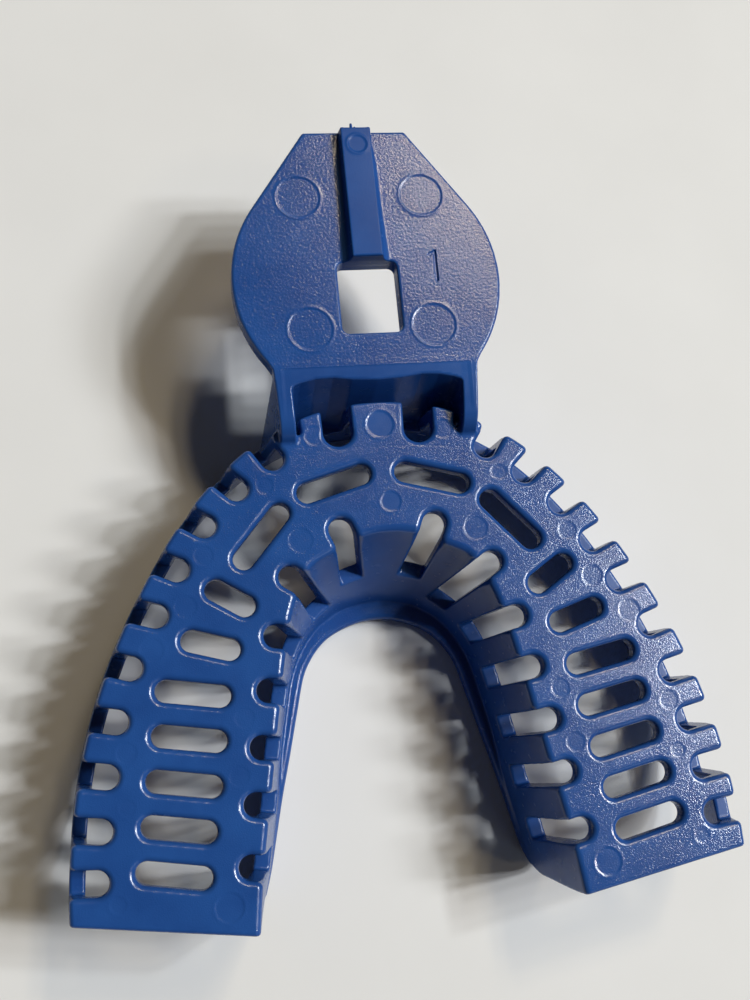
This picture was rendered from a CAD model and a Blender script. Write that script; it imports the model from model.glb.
# A moulded blue mouth tray: a horseshoe plate with a cheek wall and a tongue wall hanging
# below it, and a neck that carries a ribbed grip. x = 0 is the mirror plane, z = 0 the
# resting plane and +Y points to the grip. Shapes are worked out in millimetres, with
# y = 0 on the line through the legs' outer back corners, as one signed distance that is
# negative inside. Its surface is then meshed region by region.
import math
import bpy
import numpy as np
from mathutils import Matrix, Vector


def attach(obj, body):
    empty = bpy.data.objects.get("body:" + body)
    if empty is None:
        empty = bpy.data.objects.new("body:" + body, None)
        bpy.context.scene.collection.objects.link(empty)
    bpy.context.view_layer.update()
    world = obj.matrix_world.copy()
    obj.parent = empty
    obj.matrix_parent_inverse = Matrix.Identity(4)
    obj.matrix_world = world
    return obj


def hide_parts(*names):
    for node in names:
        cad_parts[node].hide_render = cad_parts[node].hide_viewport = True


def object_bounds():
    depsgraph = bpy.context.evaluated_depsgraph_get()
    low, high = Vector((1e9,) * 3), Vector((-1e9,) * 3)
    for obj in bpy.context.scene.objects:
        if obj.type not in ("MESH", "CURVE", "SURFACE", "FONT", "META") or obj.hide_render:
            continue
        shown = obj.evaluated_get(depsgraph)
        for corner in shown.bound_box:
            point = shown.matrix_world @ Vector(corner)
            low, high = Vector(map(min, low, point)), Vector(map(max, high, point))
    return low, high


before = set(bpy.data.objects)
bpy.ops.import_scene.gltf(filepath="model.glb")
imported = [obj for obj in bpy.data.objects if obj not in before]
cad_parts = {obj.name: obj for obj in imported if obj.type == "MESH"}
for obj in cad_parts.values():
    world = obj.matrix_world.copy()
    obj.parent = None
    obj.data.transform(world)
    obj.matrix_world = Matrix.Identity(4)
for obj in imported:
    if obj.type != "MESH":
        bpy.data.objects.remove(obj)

MM = 0.001
CAD_BOX = [[float(v) for v in corner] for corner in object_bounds()]
# The frame's lowest y is 3.2985 mm behind the leg line.
LEG_LINE_Y = CAD_BOX[0][1] * 1000.0 + 3.2985
STEP = 0.26  # meshing grid
FIELD_STEP = 0.13              # grid of the tabled distances

# ------------------------------------------------------------------ dimensions (mm)
PLATE_TOP, PLATE_UNDER = 18.0, 15.8
GRIP_TOP, GRIP_UNDER = 21.2, 18.5
RIM_TOP = 2.0
CHEEK_THICK, TONGUE_THICK = 1.75, 2.0
FLARE = 2.1 / PLATE_TOP        # outward lean of the cheek wall
LEG_END_X = 38.0               # the legs' ends slant back from here to x = 18.1
LEG_END_SLOPE = 3.3 / (LEG_END_X - 18.1)
LEG_END_COS = math.cos(math.atan(LEG_END_SLOPE))
NECK_HALF, NECK_FRONT, NECK_BACK = 12.2, 59.1, 50.6
HOLLOW_HALF = 10.3
FRONT_DRAFT = 0.18             # lean of the neck's front and hollow faces
WINDOW_Y, WINDOW_HALF_X, WINDOW_HALF_Y, WINDOW_R = 67.78, 3.65, 4.52, 0.85
RIB_START, RIB_END, RIB_TOP, RIB_HALF = 72.3, 89.35, 22.98, 1.84
SLOT_R = 1.25

# Half outlines in plan, (x, y) from the leg's end to the mirror plane.
CHEEK_EDGE = [
    (38.2, -6), (38.0, 0.2), (37.95, 3), (37.6, 7.5), (36.95, 12.6), (35.65, 18.4),
    (33.8, 24.2), (31.35, 30.0), (28.5, 35.4), (25.2, 40.7), (21.4, 45.5), (17.0, 49.7),
    (12.5, 52.55), (8.2, 54.35), (4.0, 55.3), (0, 55.55)]
TONGUE_EDGE = [
    (18.9, -8), (18.25, -3.4), (17.65, 1.5), (17.05, 5.5), (16.2, 10.2), (15.3, 15.2),
    (14.4, 20.3), (13.4, 25.6), (12.3, 30.6), (11.0, 34.0), (9.5, 36.4), (6.9, 37.9),
    (3.3, 39.5), (0, 39.95)]
TONGUE_FOOT = [
    (17.9, -8), (17.3, -3.2), (16.05, 1.6), (15.3, 5.3), (14.35, 10.1), (13.65, 15.2),
    (12.65, 20.2), (11.6, 24.6), (10.2, 27.7), (8.4, 30.1), (6.6, 31.5), (4.5, 32.6),
    (2.1, 33.15), (0, 33.35)]
RIM_EDGE = [
    (17.8, -8), (17.2, -3.2), (15.8, 1.65), (14.95, 5.2), (13.8, 10.05), (12.45, 15.1),
    (11.15, 20.2), (10.0, 24.5), (8.8, 26.8), (7.4, 28.45), (5.9, 29.55), (3.9, 30.45),
    (1.9, 31.0), (0, 31.15)]
# Slots through the plate: x, y of one end, x, y of the other.
SLOTS = [
    (24.10, 3.38, 29.81, 4.53), (23.32, 8.09, 29.01, 9.21), (22.43, 12.81, 28.25, 13.93),
    (21.61, 17.63, 27.40, 18.71), (20.85, 22.48, 26.73, 23.57), (19.44, 27.56, 23.59, 28.86),
    (17.40, 32.34, 20.56, 34.39), (12.69, 42.77, 17.11, 37.74), (2.70, 46.87, 9.16, 45.06)]
# Edge notches: x, y of the closed end, direction in degrees, radius, z of the floor.
CHEEK_NOTCHES = [
    (35.12, 4.05, 5, 1.38, 14.6), (34.5, 9.3, 9, 1.38, 7.5), (33.6, 14.95, 11, 1.38, 7.5),
    (32.3, 20.7, 13, 1.38, 7.5), (30.5, 26.4, 18, 1.38, 7.5), (27.4, 32.0, 18, 1.38, 7.5),
    (24.75, 37.05, 26, 1.38, 7.5), (21.4, 41.9, 32, 1.38, 7.5), (17.4, 46.0, 43, 1.38, 7.5),
    (12.97, 49.4, 56, 1.38, 7.5), (9.72, 52.5, 82, 0.45, 8.5), (4.9, 52.25, 88, 1.8, 8.5)]
TONGUE_NOTCHES = [
    (18.7, 3.86, 191, 1.36, 5.0), (17.7, 10.37, 191, 1.36, 5.0), (16.6, 16.44, 189, 1.36, 5.0),
    (15.4, 22.62, 189, 1.36, 5.0), (14.15, 28.66, 191, 1.36, 5.0),
    (11.95, 35.28, 214, 1.36, 5.0), (5.6, 40.4, 248, 1.42, 8.5)]
NOTCH_LENGTH = 12
# Side profiles (y, z): the lower back corner of each wall, then the neck's top.
CHEEK_LOW = [
    (0.0, 30), (0.02, 23), (0.05, 19), (0.13, 15.4), (0.21, 13.2), (0.3, 11.6), (0.6, 10.2),
    (1.3, 8.9), (2.4, 7.7), (4.2, 6.2), (9, 4.1), (14, 2.35), (19, 1.0), (23.5, 0.2),
    (26, 0.04), (28.5, 0), (32, 0), (40, 0), (55, 0), (80, 0)]
TONGUE_LOW = [
    (-3.6, 30), (-3.45, 18), (-3.02, 11.4), (-2.72, 7.3), (-2.58, 5.4), (-2.5, 4.2),
    (-2.25, 3.1), (-1.75, 2.0), (-1.0, 1.05), (0.0, 0.35), (0.7, 0.11), (1.5, 0.02),
    (2.6, 0), (5, 0), (10, 0), (22, 0), (45, 0), (80, 0)]
NECK_TOP = [
    (NECK_BACK, 10), (50.75, 16.5), (51.0, 17.9), (51.35, 18.75), (51.85, 19.45),
    (52.6, 20.05), (53.6, 20.45), (55.5, 20.8), (57.6, 21.04), (59.1, 21.2), (60.4, 21.2),
    (62.4, 21.2), (66, 21.2), (73, 21.2), (85, 21.2), (100, 21.2)]
# The neck's hollow: x, and y of its front face at the top.
HOLLOW_X = [0, 3, 5.4, 7.4, 9.2, 10.33, 20]
HOLLOW_Y = [57.5, 57.65, 57.96, 57.87, 57.5, 57.1, 57.1]


# ------------------------------------------------------------------ curves and distances
def ramp(v, start, end):
    """Smooth step from 0 at start to 1 at end."""
    t = np.clip((v - start) / (end - start), 0, 1)
    return t * t * (3 - 2 * t)


def fade(v, start, end):
    """Smooth step from 1 down to 0."""
    return 1 - ramp(v, start, end)


def unit(vectors):
    return vectors / np.maximum(np.linalg.norm(vectors, axis=1), 1e-12)[:, None]


def chunked(function, points, size=60000):
    """Applies the function to a few points at a time, to spare memory."""
    return np.concatenate([function(points[s:s + size]) for s in range(0, len(points), size)])


def spline(points, count=700):
    """Uniform Catmull-Rom through the points, with the ends repeated."""
    knots = np.array(points, float)
    padded = np.vstack([knots[0], knots, knots[-1]])
    t = np.linspace(0, len(knots) - 1, count)
    i = np.minimum(t.astype(int), len(knots) - 2)
    u = (t - i)[:, None]
    a, b, c, d = (padded[i + k] for k in range(4))
    return 0.5 * (2 * b + (c - a) * u + (2 * a - 5 * b + 4 * c - d) * u ** 2
                  + (3 * b - a - 3 * c + d) * u ** 3)


class Field:
    """Signed distance to a line, tabled on a grid and read back bilinearly."""

    def __init__(self, line, low, high, sign):
        self.low = low
        axes = [low[k] + FIELD_STEP * np.arange(math.ceil((high[k] - low[k]) / FIELD_STEP) + 1)
                for k in (0, 1)]
        first, second = np.meshgrid(*axes, indexing="ij")
        stride = max(1, len(line) // 90)
        coarse = line[::stride]
        nearby = np.arange(-stride - 2, stride + 2)

        def distance(spots):
            near = ((spots[:, None, :] - coarse[None]) ** 2).sum(-1).argmin(1) * stride
            index = np.clip(near[:, None] + nearby[None], 0, len(line) - 2)
            start = line[index]
            run = line[index + 1] - start
            away = spots[:, None, :] - start
            t = np.clip((away * run).sum(-1) / np.maximum((run * run).sum(-1), 1e-12), 0, 1)
            return np.sqrt(((away - t[..., None] * run) ** 2).sum(-1)).min(1)

        spots = np.c_[first.ravel(), second.ravel()]
        table = chunked(distance, spots, 20000) * sign(spots[:, 0], spots[:, 1])
        self.table = table.reshape(first.shape)

    def __call__(self, x, y):
        table = self.table
        across = np.clip((x - self.low[0]) / FIELD_STEP, 0, table.shape[0] - 1.001)
        along = np.clip((y - self.low[1]) / FIELD_STEP, 0, table.shape[1] - 1.001)
        i, j = across.astype(int), along.astype(int)
        u, v = across - i, along - j
        return (table[i, j] * (1 - u) * (1 - v) + table[i + 1, j] * u * (1 - v)
                + table[i, j + 1] * (1 - u) * v + table[i + 1, j + 1] * u * v)


def plan_field(line, low=(0, -7), high=(43, 62)):
    """Distance to an outline in plan, negative where x is below the line's x at that y."""
    right = line[line[:, 0] >= 0]
    right = right[np.argsort(right[:, 1])]

    def sign(x, y):
        limit = np.where(y > right[-1, 1], -1.0, np.interp(y, right[:, 1], right[:, 0]))
        return np.where(x > limit, 1.0, -1.0)
    return Field(line, low, high, sign)


def arch_field(half):
    """Field of a half outline and its mirror image."""
    mirrored = [(-x, y) for x, y in half[:-1]][::-1]
    return plan_field(spline(half + mirrored, 1800))


def above(line):
    """Gives -1 above a line z(y), +1 below it."""
    line = line[np.argsort(line[:, 0], kind="stable")]

    def sign(y, z):
        return np.where(z > np.interp(y, line[:, 0], line[:, 1], left=99), -1.0, 1.0)
    return sign


def wall_low_field(points):
    line = spline(points)
    return Field(line, (-7, -3), (60, 24), above(line))


def neck_top_field():
    line = spline(NECK_TOP)
    over = above(line)
    return Field(line, (46, 8), (93, 27),
                 lambda y, z: np.where(y < NECK_BACK, 1.0, -over(y, z)))


def grip_outline():
    """Straight neck sides, an arc, and a tangent to the outer end's corner."""
    radius, centre_y = 16.33, 70.2
    end_x, end_y = 6.4, 89.5
    reach = math.hypot(end_x, end_y - centre_y)
    high = math.atan2(end_y - centre_y, end_x) - math.acos(radius / reach)
    low = math.atan2(60.2 - centre_y, 12.9)
    points = [(NECK_HALF, 50.0), (NECK_HALF, 58.5), (12.32, 59.2)]
    for k in range(61):
        a = low + (high - low) * k / 60
        points.append((radius * math.cos(a), centre_y + radius * math.sin(a)))
    points += [(end_x + 0.1, end_y - 0.15), (end_x - 0.12, end_y), (0, end_y)]
    points = np.array(points)
    length = np.r_[0, np.cumsum(np.hypot(*np.diff(points, axis=0).T))]
    t = np.linspace(0, length[-1], 1800)
    return np.c_[np.interp(t, length, points[:, 0]), np.interp(t, length, points[:, 1])]


CHEEK_FIELD, TONGUE_FIELD, FOOT_FIELD, RIM_FIELD = [
    arch_field(half) for half in (CHEEK_EDGE, TONGUE_EDGE, TONGUE_FOOT, RIM_EDGE)]
CHEEK_LOW_FIELD, TONGUE_LOW_FIELD = wall_low_field(CHEEK_LOW), wall_low_field(TONGUE_LOW)
NECK_TOP_FIELD = neck_top_field()
GRIP_FIELD = plan_field(grip_outline(), (0, 50), (20, 93))


def meet(a, b, radius):
    """Intersection of two solids with its outward edge rounded."""
    return (np.minimum(np.maximum(a, b), -radius)
            + np.hypot(np.maximum(a + radius, 0), np.maximum(b + radius, 0)))


def join(a, b, radius):
    """Union of two solids with its inward corner filleted."""
    return (np.maximum(np.minimum(a, b), radius)
            - np.hypot(np.maximum(radius - a, 0), np.maximum(radius - b, 0)))


def capsule(x, y, start_x, start_y, end_x, end_y, radius):
    run_x, run_y = end_x - start_x, end_y - start_y
    t = ((x - start_x) * run_x + (y - start_y) * run_y) / (run_x * run_x + run_y * run_y)
    t = np.clip(t, 0, 1)
    return np.hypot(x - start_x - t * run_x, y - start_y - t * run_y) - radius


def nearest_capsule(x, y, rows):
    nearest = capsule(x, y, *rows[0])
    for row in rows[1:]:
        nearest = np.minimum(nearest, capsule(x, y, *row))
    return nearest


def notch_groups():
    """Notch capsules grouped by wall and floor height."""
    groups = {}
    for wall, rows in enumerate((CHEEK_NOTCHES, TONGUE_NOTCHES)):
        for x, y, degrees, radius, floor_z in rows:
            a = math.radians(degrees)
            groups.setdefault((wall, floor_z), []).append(
                (x, y, x + NOTCH_LENGTH * math.cos(a), y + NOTCH_LENGTH * math.sin(a), radius))
    return groups


NOTCHES = notch_groups()
SLOT_CAPSULES = [row + (SLOT_R,) for row in SLOTS]


# ------------------------------------------------------------------ the solid
# x is |x| throughout. The last argument of meet and join is the edge radius.
def flare(z):
    return FLARE * np.clip(PLATE_TOP - z, 0, None)


def arch_lines(x, y, z):
    """Distances to the cheek wall's outside and the tongue wall's inside faces."""
    outer = CHEEK_FIELD(x, y) - flare(z)
    t = np.clip((z - RIM_TOP) / (PLATE_TOP - RIM_TOP), 0, 1)
    return outer, FOOT_FIELD(x, y) * (1 - t) + TONGUE_FIELD(x, y) * t


def strut_lobe(arch, x, y, z):
    """Rounds the lobe between each neck side and the notch beside it."""
    notch_x, notch_y, cos_notch, sin_notch = 12.97, 49.4, 0.559, 0.829
    off_x, off_y = x - 11.9, y - 51.9
    lobe = np.hypot(off_x, off_y) - 0.85 - flare(z)
    near = (off_x > 0) & (off_x * cos_notch + off_y * sin_notch > 0) & (z > 7.5)
    near &= (x - notch_x) * sin_notch - (y - notch_y) * cos_notch < 0
    return np.where(near, meet(arch, lobe, 0.3), arch)


def arch_solid(x, y, z, outer, inner):
    # top edges are sharper close to the neck
    crisp = ramp(y, 51.0, 52.6) * fade(x, 12.6, 14.5)
    arch = meet(z - PLATE_TOP, outer, 0.5 - 0.3 * crisp)
    arch = meet(arch, -inner, 0.62)
    rim = meet(z - RIM_TOP, -RIM_FIELD(x, y), 0.7)
    rim = np.maximum(rim, FOOT_FIELD(x, y) - 1.2)
    arch = join(arch, rim, 0.3)
    trough = meet(outer + CHEEK_THICK, TONGUE_THICK - inner, 0.3)
    arch = np.maximum(arch, -meet(trough, z - PLATE_UNDER, 0.6))
    edge = 0.28 + (0.37 - 0.3 * crisp) * ramp(z, 15.0, 17.2)
    notches = np.inf
    for (_, floor_z), rows in NOTCHES.items():
        notches = np.minimum(notches, meet(nearest_capsule(x, y, rows), floor_z - z, 0.35))
    arch = meet(arch, -notches, edge)
    arch = strut_lobe(arch, x, y, z)
    slots = nearest_capsule(x, y, SLOT_CAPSULES)
    arch = meet(arch, -np.maximum(slots, 14.0 - z), edge)
    low = np.where(-outer < inner, CHEEK_LOW_FIELD(y, z), TONGUE_LOW_FIELD(y, z))
    arch = meet(arch, np.minimum(low, PLATE_UNDER - 0.5 - z), 0.3)
    leg_end = (-LEG_END_SLOPE * (LEG_END_X - x) - y) * LEG_END_COS
    return meet(arch, leg_end, 0.38)


def add_rib(body, x, y, z):
    """The rib on the grip: sloping sides, with a foot fillet that fades at the outer end."""
    t = np.clip((y - RIB_START) / (RIB_END - RIB_START), 0, 1)
    top = RIB_TOP - 0.24 * t
    slope = 0.26 - 0.14 * t
    side = (x - RIB_HALF - slope * np.clip(top - z, 0, 2)) / np.sqrt(1 + slope ** 2)
    rib = np.maximum(meet(side, z - top, 0.15), 20.4 - z)
    ends = np.maximum(72.28 - y, y - (89.38 - 0.05 * (z - GRIP_TOP)))
    foot = 0.1 + (0.45 + 0.25 * fade(y, 72, 80)) * fade(y, 85.0, 88.6)
    trimmed = meet(join(body, rib, foot), ends, 0.16)
    return np.where(ends > 0.6, body, np.minimum(body, trimmed))


def neck_solid(x, y, z, outer):
    """Neck and grip, with the hollow, the window and the rib."""
    depth = GRIP_TOP - z
    down = np.clip(depth, 0, None)
    back = np.clip(58.7 - y, 0, 12)
    body = meet(x - (NECK_HALF - 0.07 * back + 0.062 * down),
                y - (NECK_FRONT - FRONT_DRAFT * down), 0.35)
    body = meet(body, 0.5 - z, 0.3)
    grip = np.maximum(meet(GRIP_FIELD(x, y), GRIP_UNDER - z, 0.4), 57.9 - y)
    body = join(body, grip, 0.04 + 1.3 * fade(x, 9.0, 11.6) * fade(z, 18.7, 19.8))
    hollow = meet(x - (HOLLOW_HALF - 0.04 * back - 0.015 * down),
                  y - (np.interp(x, HOLLOW_X, HOLLOW_Y) - FRONT_DRAFT * down), 0.4)
    body = meet(body, -hollow, 0.15)
    top = np.where(y < 48, 20.0, NECK_TOP_FIELD(y, z))
    body = meet(body, top, 0.22 + 0.12 * ramp(y, 59.0, 61.5))
    body = np.maximum(body, -np.maximum(outer + 0.9, z - 17.0))
    off_x = x - WINDOW_HALF_X + WINDOW_R
    off_y = np.abs(y - WINDOW_Y) - WINDOW_HALF_Y + WINDOW_R
    window = (np.minimum(np.maximum(off_x, off_y), 0)
              + np.hypot(np.maximum(off_x, 0), np.maximum(off_y, 0)) - WINDOW_R)
    return add_rib(meet(body, -window, 0.28), x, y, z)


def solid(x, y, z):
    """Signed distance of the whole tray, and its two arch distances."""
    x = np.abs(x)
    outer, inner = arch_lines(x, y, z)
    arch = arch_solid(x, y, z, outer, inner)
    return join(arch, neck_solid(x, y, z, outer), 0.45), outer, inner


# Regions in the order of their labels, from 1: piece name, material slot.
PIECES = [
    ("arch_plate", "grained_plastic"), ("cheek_wall", "smooth_plastic"),
    ("tongue_wall", "smooth_plastic"), ("tongue_rim", "grained_plastic"),
    ("grip_plate", "grained_plastic"), ("grip_rib", "smooth_plastic"),
    ("neck_web", "smooth_plastic"), ("neck_side_right", "smooth_plastic"),
    ("neck_side_left", "smooth_plastic")]
AIR, ARCH, CHEEK, TONGUE, RIM, GRIP, RIB, WEB, SIDE_RIGHT, SIDE_LEFT = range(10)


def labels(x, y, z, distance, outer, inner, side):
    """The region of each grid point; side is the label of this half's neck side."""
    arch = np.where(z > PLATE_UNDER, ARCH,
                    np.where(-outer < inner, CHEEK, np.where(z > RIM_TOP, TONGUE, RIM)))
    fore = (y > 50.4) & (x < 17.5) & ((z > PLATE_TOP + 0.02) | (outer > 0.02))
    neck = np.where((x < 10.2) & ~((y < 54.5) & (z > 17.0)), WEB, side)
    neck = np.where((y > NECK_FRONT) & ((z > GRIP_UNDER) | (x >= 13.0)), GRIP, neck)
    neck = np.where((y > 72.2) & (z > GRIP_TOP + 0.02), RIB, neck)
    return np.where(distance < 0, np.where(fore, neck, arch), AIR).astype(np.uint8)


# ------------------------------------------------------------------ sampling one half, mirrored
half_x = (np.arange(math.ceil(41.2 / STEP)) + 0.5) * STEP
grid_y = np.arange(-4.6, 90.8, STEP) + 0.037
grid_z = np.arange(-0.7, 23.9, STEP) + 0.043
half_distance = np.empty((len(half_x), len(grid_y), len(grid_z)), np.float32)
right_region = np.empty(half_distance.shape, np.uint8)
left_region = np.empty(half_distance.shape, np.uint8)
for s in range(0, len(half_x), 24):
    part = slice(s, s + 24)
    spot = half_x[part, None, None], grid_y[None, :, None], grid_z[None, None, :]
    found = solid(*spot)
    half_distance[part] = found[0]
    right_region[part] = labels(*spot, *found, SIDE_RIGHT)
    left_region[part] = labels(*spot, *found, SIDE_LEFT)
distance = np.concatenate([half_distance[::-1], half_distance])
region = np.concatenate([left_region[::-1], right_region])
grid_x = np.concatenate([-half_x[::-1], half_x])
del half_distance, right_region, left_region

# ------------------------------------------------------------------ surface nets
# One point per grid cell whose corners differ, shared by all the regions it touches.
corners = np.array([(a, b, c) for a in (0, 1) for b in (0, 1) for c in (0, 1)])
first = region[:-1, :-1, :-1]
mixed = np.zeros(first.shape, bool)
for corner in corners[1:]:
    mixed |= region[tuple(slice(a, a + n) for a, n in zip(corner, first.shape))] != first
cells = np.argwhere(mixed)
index = np.full(mixed.shape, -1, np.int32)
index[mixed] = np.arange(len(cells))
at_corners = tuple(np.moveaxis(cells[:, None] + corners, 2, 0))
corner_distance = distance[at_corners].astype(float)
corner_region = region[at_corners]
surface_sum, surface_count = np.zeros((len(cells), 3)), np.zeros(len(cells))
inner_sum, inner_count = np.zeros((len(cells), 3)), np.zeros(len(cells))
for i in range(8):
    for j in range(i + 1, 8):
        if np.abs(corners[i] - corners[j]).sum() != 1:
            continue
        region_i, region_j = corner_region[:, i], corner_region[:, j]
        air = (region_i == AIR) != (region_j == AIR)
        from_i, from_j = corner_distance[:, i], corner_distance[:, j]
        t = from_i / np.where(air, from_i - from_j, 1.0)
        crossing = corners[i] + np.clip(t, 0, 1)[:, None] * (corners[j] - corners[i])
        surface_sum += np.where(air[:, None], crossing, 0)
        surface_count += air
        between = (region_i != region_j) & ~air
        inner_sum += np.where(between[:, None], (corners[i] + corners[j]) / 2, 0)
        inner_count += between
on_surface = surface_count > 0
local = np.where(on_surface[:, None], surface_sum / np.maximum(surface_count, 1)[:, None],
                 inner_sum / np.maximum(inner_count, 1)[:, None])
net_points = np.c_[grid_x[cells[:, 0]], grid_y[cells[:, 1]], grid_z[cells[:, 2]]] + local * STEP


def value(points):
    return solid(*points.T)[0]


def gradient(points, half_step=0.03):
    slope = np.empty_like(points)
    for k in range(3):
        shift = np.zeros(3)
        shift[k] = half_step
        slope[:, k] = (value(points + shift) - value(points - shift)) / (2 * half_step)
    return slope


def push(points, steps, reach):
    """Moves points onto the surface, never further than reach from where they began."""
    start = points.copy()
    for _ in range(steps):
        slope = chunked(gradient, points)
        steepness = np.maximum((slope * slope).sum(1), 0.15)
        points = points - slope * (chunked(value, points) / steepness)[:, None]
        points = start + np.clip(points - start, -reach, reach)
    return points


def surface_normals(points):
    return unit(chunked(gradient, points))


net_points[on_surface] = push(net_points[on_surface], steps=2, reach=0.55 * STEP)
# points between regions keep a zero normal until their piece is built
net_normals = np.zeros_like(net_points)
net_normals[on_surface] = surface_normals(net_points[on_surface])

# Quads: one per grid edge whose ends differ, for each region it bounds.
# Rows: the edge's direction, the four cells round it.
EDGE_RINGS = [
    ((1, 0, 0), [(0, -1, -1), (0, 0, -1), (0, 0, 0), (0, -1, 0)]),
    ((0, 1, 0), [(-1, 0, -1), (-1, 0, 0), (0, 0, 0), (0, 0, -1)]),
    ((0, 0, 1), [(-1, -1, 0), (0, -1, 0), (0, 0, 0), (-1, 0, 0)])]
quads = {k: [] for k in range(1, len(PIECES) + 1)}
for step, ring in EDGE_RINGS:
    before = region[tuple(slice(0, n - a) for a, n in zip(step, region.shape))]
    after = region[tuple(slice(a, None) for a in step)]
    where = np.argwhere(before != after)
    region_before, region_after = before[tuple(where.T)], after[tuple(where.T)]
    around = np.stack([index[tuple((where + cell).T)] for cell in ring], 1)
    for k in quads:
        quads[k].append(around[region_before == k])
        quads[k].append(around[region_after == k][:, ::-1])

# ------------------------------------------------------------------ fine relief on the upper faces
# Ejector marks: x, y, radius, level inside, height of the ring line.
GRIP_PINS = [(7.6, 80.9, 2.7, -0.035, 0.024), (7.47, 63.95, 2.7, -0.035, 0.024)]
ARCH_PINS = [
    (7.8, 51.8, 1.26, -0.02, 0.012), (10.45, 39.4, 1.5, -0.02, 0.006),
    (14.1, 46.1, 1.06, -0.018, 0.005), (21.65, 38.4, 1.19, -0.018, 0.006),
    (24.0, 32.7, 1.34, -0.015, 0.006), (28.0, 28.2, 1.39, -0.015, 0.005),
    (31.3, 17.3, 1.19, -0.015, 0.006), (19.3, 13.6, 1.18, -0.015, 0.004),
    (31.5, 11.5, 0.96, -0.012, 0.004), (21.3, 0.1, 1.63, -0.03, 0.014),
    (32.9, 1.7, 0.94, -0.012, 0.008), (18.3, 19.85, 1.18, -0.014, 0.004)]
CENTRE_PINS = [
    (0.2, 52.8, 1.75, -0.03, 0.02), (0.6, 43.3, 1.29, -0.02, 0.008),
    (0.09, 87.0, 1.2, -0.04, 0.03)]
# Rows: mirrored or not, how smooth the faces inside are (0 to 1), the marks.
PIN_GROUPS = [(True, 0.0, GRIP_PINS), (True, 0.3, ARCH_PINS), (False, 1.0, CENTRE_PINS)]
# An engraved 1: x, y to x, y and half width of each stroke.
NUMERAL = [(7.78, 73.0, 8.5, 73.36, 0.2), (8.5, 73.36, 8.46, 69.66, 0.2)]


def pin_marks(x, y):
    """Distance from each mark's centre, with its radius, levels and smoothness."""
    for mirrored, smoothness, rows in PIN_GROUPS:
        across = np.abs(x) if mirrored else x
        for pin_x, pin_y, radius, inside, ring in rows:
            yield np.hypot(across - pin_x, y - pin_y), radius, inside, ring, smoothness


def ridge(offset, width):
    return np.exp(-(offset / width) ** 2)


def relief(x, y, z):
    """Height of the fine marks above the flat upper faces."""
    height = np.zeros_like(x)
    for away, radius, inside, ring, _ in pin_marks(x, y):
        height += inside * fade(away, radius - 0.26, radius + 0.04)
        height += ring * ridge(away - radius - 0.1, 0.18)
    height -= 0.24 * fade(nearest_capsule(x, y, NUMERAL), -0.11, 0.06)
    # mould witness lines: round the neck's lowered zone, and across the plate behind it
    across = np.abs(x)
    neck = (y < 59.6) & (z > 19.0)
    height -= 0.03 * fade(across, 10.9, 11.4) * fade(y, 58.9, 59.22) * neck
    height += 0.004 * ridge(across - 11.42, 0.09) * fade(y, 59.1, 59.3) * neck
    height += 0.008 * ridge(y - 59.24, 0.09) * fade(across, 11.3, 11.5) * (z > 19.0)
    bowed = y - (50.15 - 0.9 * (across / 10.9) ** 2)
    height -= 0.009 * ridge(bowed, 0.2) * fade(across, 9.6, 10.9) * (z < 19)
    return height


def relief_distance(x, y):
    """Distance to the nearest ring or neck witness line, at most 9."""
    nearest = np.full(x.shape, 9.0)
    for away, radius, *_ in pin_marks(x, y):
        nearest = np.minimum(nearest, np.abs(away - radius))
    across = np.abs(x)
    nearest = np.minimum(nearest, np.where(across < 11.5, np.abs(y - 59.15), 9.0))
    beside = (y > 51.5) & (y < 59.4)
    return np.minimum(nearest, np.where(beside, np.abs(across - 11.35), 9.0))


def pin_smoothness(x, y):
    """How much smoother the faces are inside the ejector marks."""
    most = np.zeros(x.shape)
    for away, radius, _, _, smoothness in pin_marks(x, y):
        most = np.maximum(most, smoothness * fade(away, radius - 0.3, radius))
    return most


def on_upper(points):
    """True on the level upper faces that carry grain and marks."""
    y, z = points[:, 1], points[:, 2]
    return ((np.abs(z - PLATE_TOP) < 0.12) | (np.abs(z - GRIP_TOP) < 0.12)
            | ((z > 22.6) & (y > 72)) | ((z > 19.9) & (y < 59.4)))


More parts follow.
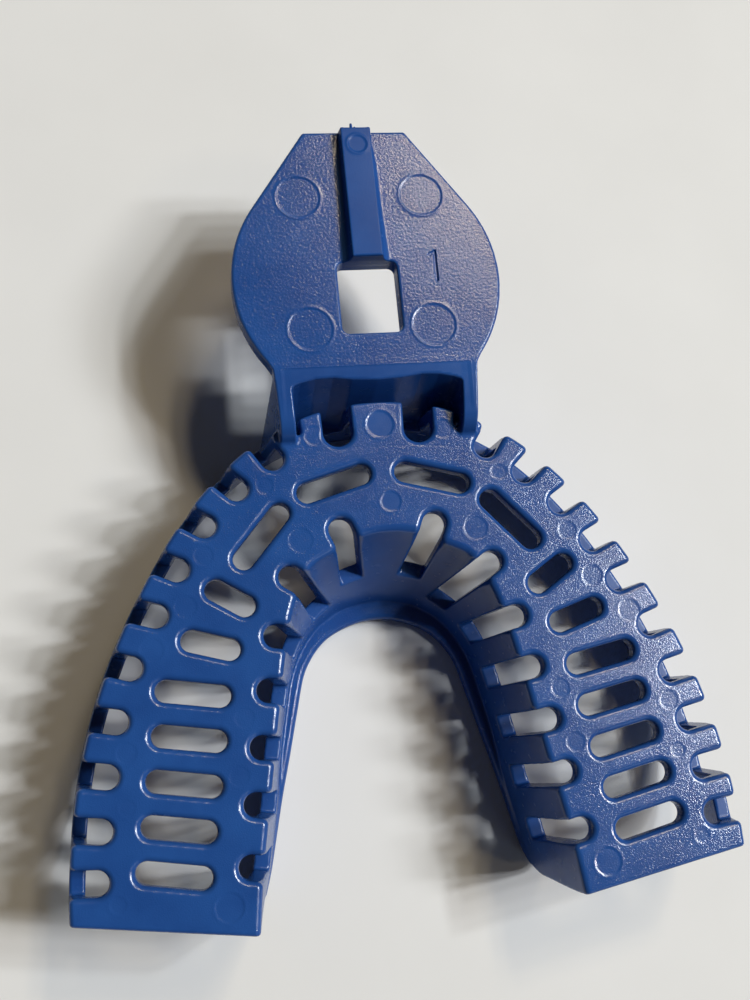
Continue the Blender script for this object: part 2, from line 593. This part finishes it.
# ------------------------------------------------------------------ refinement
def refine(points, normals, tris, wanted):
    """Splits the wanted triangles in four, and their neighbours to match."""
    count = len(points)
    ends = np.sort(np.concatenate([tris[:, [0, 1]], tris[:, [1, 2]], tris[:, [2, 0]]]), 1)
    edges, edge_of = np.unique(ends[:, 0].astype(np.int64) * (count + 1) + ends[:, 1],
                               return_inverse=True)
    edge_of = edge_of.reshape(3, -1).T
    cut = np.zeros(len(edges), bool)
    cut[edge_of[wanted].ravel()] = True
    # a triangle with two cut edges has its third cut too
    for _ in range(7):
        two = cut[edge_of].sum(1) == 2
        if not two.any():
            break
        cut[edge_of[two].ravel()] = True
    middle = np.full(len(edges), -1, np.int64)
    middle[cut] = count + np.arange(cut.sum())
    a, b = edges[cut] // (count + 1), edges[cut] % (count + 1)
    on_skin = np.linalg.norm(normals, axis=1) > 0.5
    both = on_skin[a] & on_skin[b]
    new_normals = unit(np.vstack([normals, normals[a] + normals[b]]))
    new_normals[count:][~both] = 0.0
    middles = middle[edge_of]
    cuts = (middles >= 0).sum(1)
    out = [tris[cuts == 0]]
    tri, mid = tris[cuts == 3], middles[cuts == 3]
    out += [np.c_[tri[:, j], mid[:, j], mid[:, (j + 2) % 3]] for j in range(3)]
    out.append(mid)
    for j in range(3):
        single = (cuts == 1) & (middles[:, j] >= 0)
        tri, mid = tris[single], middles[single, j]
        out += [np.c_[tri[:, j], mid, tri[:, (j + 2) % 3]],
                np.c_[mid, tri[:, (j + 1) % 3], tri[:, (j + 2) % 3]]]
    points = np.vstack([points, (points[a] + points[b]) / 2])
    return points, new_normals, np.concatenate(out).astype(np.int64), count + np.where(both)[0]


def refine_radii(points, normals, tris):
    """Refines the small radii the grid leaves coarse: the rib's foot and the neck's edges."""
    for low, high in ((1.5, 3.5), (1.65, 3.3)):
        mid = points[tris].mean(1)
        across = np.abs(mid[:, 0])
        wanted = (across > low) & (across < high) & (mid[:, 2] > 20.9)
        wanted &= (mid[:, 1] > 71.9) & (mid[:, 1] < 89.6)
        wanted |= (mid[:, 1] < 60.0) & (mid[:, 2] > 17.5) & (normals[tris, 2] > 0.03).any(1)
        points, normals, tris, fresh = refine(points, normals, tris, wanted)
        points[fresh] = push(points[fresh], steps=1, reach=0.07)
        normals[fresh] = surface_normals(points[fresh])
    return points, normals, tris


def refine_marks(points, normals, tris, rings_twice):
    """Refines the upper faces twice near the numeral, once or twice near other marks."""
    for numeral_reach, ring_reach, rings in ((0.4, 0.5, True), (0.2, 0.3, rings_twice)):
        mid = points[tris].mean(1)
        x, y = mid[:, 0], mid[:, 1]
        near = nearest_capsule(x, y, NUMERAL) < numeral_reach
        if rings:
            near |= relief_distance(x, y) < ring_reach
        wanted = (normals[tris, 2] > 0.9).all(1) & on_upper(mid) & near
        if wanted.any():
            points, normals, tris, _ = refine(points, normals, tris, wanted)
    return points, normals, tris


# ------------------------------------------------------------------ materials
def noise(tree, vector, scale, detail, roughness):
    texture = tree.nodes.new("ShaderNodeTexNoise")
    texture.inputs["Scale"].default_value = scale
    texture.inputs["Detail"].default_value = detail
    texture.inputs["Roughness"].default_value = roughness
    tree.links.new(vector, texture.inputs["Vector"])
    return texture.outputs["Fac"]


def colour_ramp(tree, factor, stops):
    """Blends two (position, colour) stops."""
    blend = tree.nodes.new("ShaderNodeValToRGB")
    for element, (position, colour) in zip(blend.color_ramp.elements, stops):
        element.position = position
        element.color = colour
    tree.links.new(factor, blend.inputs[0])
    return blend.outputs[0]


def plastic(name, grain_depth, level_specular):
    """Moulded blue polystyrene: eroded-mould grain on level faces, polished elsewhere."""
    material = bpy.data.materials.new(name)
    material.use_nodes = True
    tree = material.node_tree
    tree.nodes.clear()
    new, link = tree.nodes.new, tree.links.new

    def calc(operation, *terms, clamp=False):
        node = new("ShaderNodeMath")
        node.operation = operation
        node.use_clamp = clamp
        for socket, term in zip(node.inputs, terms):
            if isinstance(term, (int, float)):
                socket.default_value = term
            else:
                link(term, socket)
        return node.outputs[0]

    def attribute(label):
        node = new("ShaderNodeAttribute")
        node.attribute_name = label
        node.attribute_type = "GEOMETRY"
        return node.outputs["Fac"]

    output = new("ShaderNodeOutputMaterial")
    bsdf = new("ShaderNodeBsdfPrincipled")
    link(bsdf.outputs[0], output.inputs[0])
    place = new("ShaderNodeTexCoord").outputs["Object"]
    grain = attribute("grain")
    axes = new("ShaderNodeSeparateXYZ")
    link(place, axes.inputs[0])
    on_grip = calc("GREATER_THAN", axes.outputs[1], MM * (NECK_FRONT + LEG_LINE_Y))

    # grain cells of about 0.28 mm on the grip and 0.17 mm on the arch
    coarse = noise(tree, place, scale=3550, detail=1.5, roughness=0.55)
    fine = calc("MULTIPLY", coarse, calc("MULTIPLY", on_grip, 1.1))
    arch_cells = noise(tree, place, scale=5900, detail=1.5, roughness=0.55)
    on_arch = calc("MULTIPLY", calc("SUBTRACT", 1.0, on_grip), 1.25)
    fine = calc("MULTIPLY_ADD", arch_cells, on_arch, fine)
    speck = noise(tree, place, scale=12500, detail=1.0, roughness=0.5)

    # specular level falls off on steep faces
    shape = new("ShaderNodeNewGeometry")
    facing = new("ShaderNodeSeparateXYZ")
    link(shape.outputs["Normal"], facing.inputs[0])
    specular = new("ShaderNodeMapRange")
    link(calc("ABSOLUTE", facing.outputs[2]), specular.inputs["Value"])
    for socket, amount in (("From Min", 0.15), ("From Max", 0.6),
                           ("To Min", 0.16), ("To Max", level_specular)):
        specular.inputs[socket].default_value = amount

    # colour: deep blue with faint mould-flow variation, a touch paler in the grain
    flow = noise(tree, place, scale=160, detail=3.0, roughness=0.55)
    streak = noise(tree, place, scale=900, detail=2.0, roughness=0.5)
    blue = colour_ramp(tree, flow, [(0.3, (0.0115, 0.058, 0.235, 1)),
                                    (0.72, (0.0165, 0.078, 0.290, 1))])
    mix = new("ShaderNodeMix")
    mix.data_type = "RGBA"
    pale = calc("MULTIPLY", calc("SUBTRACT", speck, 0.45, clamp=True), 0.35)
    link(calc("MULTIPLY", pale, grain), mix.inputs["Factor"])
    link(blue, mix.inputs["A"])
    mix.inputs["B"].default_value = (0.03, 0.11, 0.36, 1)
    link(mix.outputs["Result"], bsdf.inputs["Base Color"])

    # roughness: 0.26, less in the grain, varied by the streaks
    rough = calc("SUBTRACT", 0.26, calc("MULTIPLY", grain, 0.115))
    uneven = calc("MULTIPLY", calc("SUBTRACT", streak, 0.5), 0.08)
    link(calc("ADD", rough, uneven), bsdf.inputs["Roughness"])
    bsdf.inputs["IOR"].default_value = 1.52
    link(calc("MULTIPLY", specular.outputs[0], attribute("sheen")),
         bsdf.inputs["Specular IOR Level"])

    # bump: cells and specks, deepest where grain is 1, never quite flat
    height = calc("ADD", calc("MULTIPLY", fine, 0.75), calc("MULTIPLY", speck, 0.25))
    depth = calc("ADD", calc("MULTIPLY", grain, grain_depth), 0.03)
    bump = new("ShaderNodeBump")
    bump.inputs["Strength"].default_value = 1.0
    bump.inputs["Distance"].default_value = 0.000036
    link(calc("MULTIPLY", height, depth), bump.inputs["Height"])
    link(bump.outputs[0], bsdf.inputs["Normal"])
    return material


MATERIALS = {
    "grained_plastic": plastic("grained_plastic", grain_depth=0.9, level_specular=0.5),
    "smooth_plastic": plastic("smooth_plastic", grain_depth=0.6, level_specular=0.42)}


# ------------------------------------------------------------------ pieces
def corner_normals(points, tris):
    """Vertex normals averaged from the triangles."""
    first = points[tris[:, 0]]
    facing = np.cross(points[tris[:, 1]] - first, points[tris[:, 2]] - first)
    total = np.zeros_like(points)
    for j in range(3):
        np.add.at(total, tris[:, j], facing)
    return unit(total)


def gate_stub():
    """The broken-off runner on the rib's outer end: a tapered peg and a smaller lump."""
    around, root_y = 16, 89.34
    points, tris = [], []
    for centre_x, radius, length, centre_z in ((-0.42, 0.19, 0.72, 22.15),
                                               (0.02, 0.14, 0.34, 22.02)):
        base = len(points)
        # rings: y from the root, radius scale
        rings = [(-0.5, 1.15), (0.0, 1.1), (0.35 * length, 0.95), (0.75 * length, 0.9),
                 (0.93 * length, 0.7), (length, 0.35)]
        for y, scale in rings:
            for k in range(around):
                a = 2 * math.pi * k / around
                points.append((centre_x + radius * scale * math.cos(a), root_y + y,
                               centre_z + radius * scale * 1.1 * math.sin(a)))

        def ring_edges(j):
            start = base + j * around
            return [(start + k, start + (k + 1) % around) for k in range(around)]

        last = len(rings) - 1
        for j in range(last):
            for a, b in ring_edges(j):
                tris += [(b + around, b, a), (a + around, b + around, a)]
        points.append((centre_x, root_y + rings[0][0], centre_z))
        tris += [(a, b, len(points) - 1) for a, b in ring_edges(0)]
        points.append((centre_x, root_y + length + 0.03, centre_z))
        tris += [(b, a, len(points) - 1) for a, b in ring_edges(last)]
    points, tris = np.array(points, float), np.array(tris, int)
    return points, tris, corner_normals(points, tris)


NECK_SIDES = ("neck_side_right", "neck_side_left")
FINE_EDGED = ("grip_plate", "grip_rib") + NECK_SIDES
MARKED = ("arch_plate", "neck_web") + FINE_EDGED


def neck_strip(points):
    """1 on the grip plate's lower strip, which has the neck's finish."""
    return fade(points[:, 1], 59.1, 59.22) * fade(np.abs(points[:, 0]), 11.25, 11.4)


def grain_of(name, points, normals, top):
    """Strength of the mould grain at each vertex."""
    x, y, z = points.T
    up = normals[:, 2]
    if name == "tongue_rim":
        return ramp(up, 0.93, 0.99) * (z > 1.7)
    if name == "neck_web" or name in NECK_SIDES:
        strength = 0.25 if name == "neck_web" else 0.5
        return strength * ramp(up, 0.95, 0.99) * ramp(y, 52.0, 53.4)
    grain = top * (1 - 0.75 * pin_smoothness(x, y))
    if name == "arch_plate":
        grain *= 0.82 + 0.18 * ramp(y, 33.0, 46.0)
    if name == "grip_plate":
        grain *= 1 - neck_strip(points) * (0.8 - 0.2 * ramp(np.abs(x), 10.2, 10.4))
    if name == "grip_rib":
        grain *= 1 - 0.8 * ramp(z, 21.3, 22.0)
    return grain


def sheen_of(name, points):
    """Factor on the specular level at each vertex."""
    _, y, z = points.T
    sheen = np.ones(len(points))
    if name == "arch_plate":
        sheen += 0.22 * fade(y, 33.0, 46.0)
    if name == "grip_plate":
        sheen += 0.1 * ramp(y, 59.3, 66.0) - 0.16 * neck_strip(points)
    if name == "grip_rib":
        sheen -= 0.72 * ramp(z, 21.21, 21.5)
    return sheen


def split_quads(number):
    """A region's points, normals and triangles, cut along each quad's shorter diagonal."""
    used, quad = np.unique(np.concatenate(quads[number]), return_inverse=True)
    quad = quad.reshape(-1, 4)
    points = net_points[used]
    a, b, c, d = (points[quad[:, k]] for k in range(4))
    short = (np.linalg.norm(a - c, axis=1) <= np.linalg.norm(b - d, axis=1))[:, None]
    tris = np.concatenate([np.where(short, quad[:, [0, 1, 2]], quad[:, [0, 1, 3]]),
                           np.where(short, quad[:, [0, 2, 3]], quad[:, [1, 2, 3]])])
    return points, net_normals[used], tris


def add_relief(points, normals, top):
    """Lifts the points by the relief and returns the tilted normals."""
    e = 0.02
    x, y, z = points.T
    slope_x = (relief(x + e, y, z) - relief(x - e, y, z)) / (2 * e)
    slope_y = (relief(x, y + e, z) - relief(x, y - e, z)) / (2 * e)
    points[:, 2] += relief(x, y, z) * top
    return normals + np.c_[-slope_x, -slope_y, np.zeros_like(x)] * top[:, None]


def add_mesh(name, slot, points, normals, tris, attributes):
    mesh = bpy.data.meshes.new(name + "_skin")
    placed = (points + (0, LEG_LINE_Y, 0)) * MM
    mesh.vertices.add(len(points))
    mesh.vertices.foreach_set("co", placed.astype(np.float32).ravel())
    mesh.loops.add(len(tris) * 3)
    mesh.loops.foreach_set("vertex_index", tris.astype(np.int32).ravel())
    mesh.polygons.add(len(tris))
    mesh.polygons.foreach_set("loop_start", np.arange(0, len(tris) * 3, 3, dtype=np.int32))
    mesh.polygons.foreach_set("use_smooth", np.ones(len(tris), bool))
    mesh.update(calc_edges=True)
    for label, values in attributes.items():
        layer = mesh.attributes.new(label, "FLOAT", "POINT")
        layer.data.foreach_set("value", values.astype(np.float32))
    mesh.normals_split_custom_set_from_vertices([tuple(n) for n in normals])
    skin = bpy.data.objects.new(name + "_skin", mesh)
    bpy.context.scene.collection.objects.link(skin)
    mesh.materials.append(MATERIALS[slot])
    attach(skin, "root")
    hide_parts(name)


def build_piece(number, name, slot):
    points, normals, tris = split_quads(number)
    if name in FINE_EDGED:
        points, normals, tris = refine_radii(points, normals, tris)
    if name in MARKED:
        points, normals, tris = refine_marks(points, normals, tris,
                                             rings_twice=name != "arch_plate")
    # a negative volume means the faces point inward
    a, b, c = (points[tris[:, k]] for k in range(3))
    if np.einsum("ij,ij->i", a, np.cross(b, c)).sum() < 0:
        tris = tris[:, ::-1]
    top = ramp(normals[:, 2], 0.95, 0.992) * on_upper(points)
    if name in MARKED:
        normals = add_relief(points, normals, top)
    grain = grain_of(name, points, normals, top)
    if name == "grip_rib":
        stub_points, stub_tris, stub_normals = gate_stub()
        tris = np.concatenate([tris, stub_tris + len(points)])
        points = np.vstack([points, stub_points])
        normals = np.vstack([normals, stub_normals])
        grain = np.r_[grain, np.zeros(len(stub_points))]
    # inner faces between regions have no surface normal of their own
    bare = np.linalg.norm(normals, axis=1) < 0.1
    normals = np.where(bare[:, None], corner_normals(points, tris), unit(normals))
    add_mesh(name, slot, points, normals, tris,
             {"grain": grain, "sheen": sheen_of(name, points)})


for number, (name, slot) in enumerate(PIECES, 1):
    build_piece(number, name, slot)


# ------------------------------------------------------------------ floor, light, camera
def paper_material():
    paper = bpy.data.materials.new("paper")
    paper.use_nodes = True
    tree = paper.node_tree
    surface = tree.nodes["Principled BSDF"].inputs
    surface["Base Color"].default_value = (0.73, 0.725, 0.715, 1)  # mean of the mottling
    surface["Roughness"].default_value = 0.7
    place = tree.nodes.new("ShaderNodeTexCoord").outputs["Object"]
    mottle = noise(tree, place, scale=45, detail=5, roughness=0.5)
    colour = colour_ramp(tree, mottle, [(0.0, (0.695, 0.69, 0.68, 1)),
                                        (1.0, (0.765, 0.76, 0.75, 1))])
    tree.links.new(colour, surface["Base Color"])
    return paper


def add_floor():
    paper = paper_material()
    mesh = bpy.data.meshes.new("floor")
    mesh.from_pydata([(-2, -2, 0), (2, -2, 0), (2, 2, 0), (-2, 2, 0)], [], [(0, 1, 2, 3)])
    mesh.materials.append(paper)
    floor = bpy.data.objects.new("floor", mesh)
    floor.location.z = -0.00002
    bpy.context.scene.collection.objects.link(floor)


def add_world():
    world = bpy.data.worlds.new("studio")
    bpy.context.scene.world = world
    world.use_nodes = True
    background = world.node_tree.nodes["Background"].inputs
    background["Color"].default_value = (1.0, 0.93, 0.84, 1)
    background["Strength"].default_value = 0.03


# Soft lamps: x and y per unit of height, share of a white floor's brightness,
# disc diameter in metres, colour.
COOL, PALE, WARM, FILL = (0.94, 0.97, 1.0), (0.92, 0.975, 1.0), (1.0, 0.83, 0.56), (0.74, 0.86, 1.0)
BANKS = [
    # a long strip on the right, high end to low end
    (0.6, 0.1, 0.091, 0.20, COOL), (0.7, 0.0, 0.163, 0.18, COOL), (0.7, 0.1, 0.032, 0.20, COOL),
    (0.8, 0.0, 0.077, 0.20, COOL), (0.8, -0.1, 0.011, 0.22, COOL), (0.9, -0.1, 0.061, 0.20, COOL),
    (0.9, 0.0, 0.040, 0.20, COOL), (1.0, -0.1, 0.056, 0.20, COOL), (1.1, -0.1, 0.026, 0.22, COOL),
    # a second patch a little further round
    (0.7, 0.2, 0.077, 0.20, PALE), (0.7, 0.3, 0.104, 0.20, PALE), (0.6, 0.3, 0.043, 0.20, PALE),
    # a warm one high beyond the grip
    (0.3, 0.6, 0.046, 0.20, WARM), (0.3, 0.7, 0.030, 0.22, WARM), (0.4, 0.5, 0.036, 0.20, WARM),
    (0.4, 0.6, 0.028, 0.20, WARM), (0.4, 0.7, 0.020, 0.22, WARM), (0.42, 0.4, 0.016, 0.24, WARM),
    # faint fills from the near side
    (0.75, -0.4, 0.029, 0.40, WARM), (1.0, -1.5, 0.018, 0.90, FILL)]
LAMP_DISTANCE = 3.2


def add_lamp(name, toward, share, size, colour):
    toward = np.array(toward, float)
    toward /= np.linalg.norm(toward)
    aim = Vector((0, MM * (50 + LEG_LINE_Y), 0.0))
    light = bpy.data.lights.new(name, "AREA")
    light.shape = "DISK"
    light.size = size
    light.energy = share * math.pi ** 2 * LAMP_DISTANCE ** 2 / toward[2]
    light.color = colour
    lamp = bpy.data.objects.new(name, light)
    lamp.location = aim + Vector(toward * LAMP_DISTANCE)
    lamp.rotation_euler = (aim - lamp.location).to_track_quat("-Z", "Y").to_euler()
    bpy.context.scene.collection.objects.link(lamp)


def add_camera():
    """Pinhole camera, posed by a rotation vector and the plate's place before the lens."""
    turn = np.array([-0.2102646, -0.1529347, -0.0810034])  # radians about each axis
    offset = np.array([5.4476477, 42.3918045, 121.1204423])  # mm, x right, y down, z ahead
    angle = np.linalg.norm(turn)
    x, y, z = turn / angle
    cross = np.array([[0, -z, y], [z, 0, -x], [-y, x, 0]])
    flip = np.diag([1, -1, -1])
    to_view = (np.eye(3) + math.sin(angle) * cross
               + (1 - math.cos(angle)) * cross @ cross) @ flip
    pose = np.eye(4)
    pose[:3, :3] = to_view.T @ flip
    pose[:3, 3] = (-to_view.T @ offset + np.array([0, LEG_LINE_Y, PLATE_TOP])) * MM
    lens = bpy.data.cameras.new("camera")
    lens.sensor_fit = "HORIZONTAL"
    lens.sensor_width = 36.0
    lens.lens = 52.8
    lens.clip_start = 0.005
    lens.clip_end = 20
    camera = bpy.data.objects.new("camera", lens)
    camera.matrix_world = Matrix(pose.tolist())
    bpy.context.scene.collection.objects.link(camera)
    bpy.context.scene.camera = camera


add_floor()
add_world()
for i, (x, y, share, size, colour) in enumerate(BANKS):
    add_lamp("bank_%02d" % i, toward=(x, y, 1.0), share=share, size=size, colour=colour)
add_camera()
bpy.context.scene.view_settings.view_transform = "Standard"
